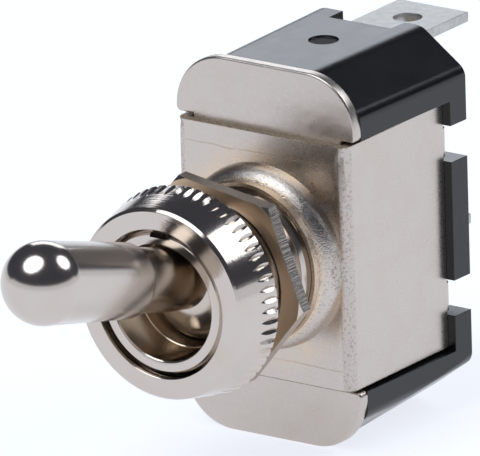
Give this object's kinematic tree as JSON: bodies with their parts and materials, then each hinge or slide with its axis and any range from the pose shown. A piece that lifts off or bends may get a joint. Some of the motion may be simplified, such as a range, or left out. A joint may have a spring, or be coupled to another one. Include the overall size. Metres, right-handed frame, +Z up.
{
  "type": "panel toggle switch",
  "caption": "Panel toggle switch with a bat lever, threaded bushing, knurled face nut, hexagon nut, pressed steel frame, black moulded case and blade terminals.",
  "frame": {"origin": "where the bushing axis meets the front face of the steel frame, before the boss is drawn", "axes": "-Y along the bushing, out of the panel towards the lever; +Y towards the terminals; +Z up, along the long side of the case and in the plane the lever swings in; +X to the right seen from the front"},
  "size_m": [0.017, 0.054, 0.0296],
  "materials": {
    "case_black": "moulded black phenolic with a low gloss",
    "frame_nickel": "bright nickel plate on pressed steel",
    "plate_nickel": "satin nickel plate on pressed steel",
    "bushing_nickel": "nickel plate over turned brass",
    "hex_nickel": "nickel plate with sawn edges",
    "face_nickel": "bright nickel plate over turned brass",
    "lever_nickel": "polished nickel plate over turned brass",
    "pin_steel": "ground steel",
    "bare_brass": "bare brass",
    "spring_steel": "drawn music wire",
    "nylon": "natural moulded nylon",
    "fibre": "red vulcanised fibre sheet",
    "copper": "bare copper alloy strip",
    "silver": "silver contact face",
    "tin": "matte tin plate over brass"
  },
  "bodies": {
    "switch_body": {"case_base": "case_black", "end_plate": "plate_nickel", "frame_bracket": "frame_nickel", "bushing": "bushing_nickel", "ball_retainer": "bare_brass", "insulator_sheet": "fibre", "rocker_cradle": "bare_brass", "common_rivet": "bare_brass", "common_terminal": "tin", "fixed_contact": "silver", "end_rivet": "bare_brass", "end_terminal": "tin"},
    "lever": {"bat_lever": "lever_nickel", "pivot_pin": "pin_steel", "lever_spring": "spring_steel"},
    "plunger": {"plunger": "nylon"},
    "rocker": {"rocker_arm": "copper", "moving_contact": "silver"},
    "hex_nut": {"hex_nut": "hex_nickel"},
    "face_nut": {"face_nut": "face_nickel"}
  },
  "joints": [
    {"name": "lever_throw", "type": "hinge", "parent": "switch_body", "child": "lever", "pos_m": [0, -0.0063, 0], "axis": [1, 0, 0], "range_deg": [0, 30]},
    {"name": "plunger_slide", "type": "slide", "parent": "lever", "child": "plunger", "axis": [0, -0.9659, 0.2588], "range_m": [0, 0.001], "stiffness_N_per_m": 1200, "springref_m": -0.0025, "deforming": ["lever_spring"]},
    {"name": "rocker_tilt", "type": "hinge", "parent": "switch_body", "child": "rocker", "pos_m": [0, 0.0084, 0], "axis": [1, 0, 0], "range_deg": [-20, 0]},
    {"name": "hex_nut_turn", "type": "hinge", "parent": "switch_body", "child": "hex_nut", "pos_m": [0, -0.00605, 0], "axis": [0, 1, 0], "continuous": true},
    {"name": "face_nut_turn", "type": "hinge", "parent": "switch_body", "child": "face_nut", "pos_m": [0, -0.0116, 0], "axis": [0, 1, 0], "continuous": true}
  ],
  "couplings": [
    {"joint": "rocker_tilt", "follows": "lever_throw", "ratio": -0.66667}
  ]
}
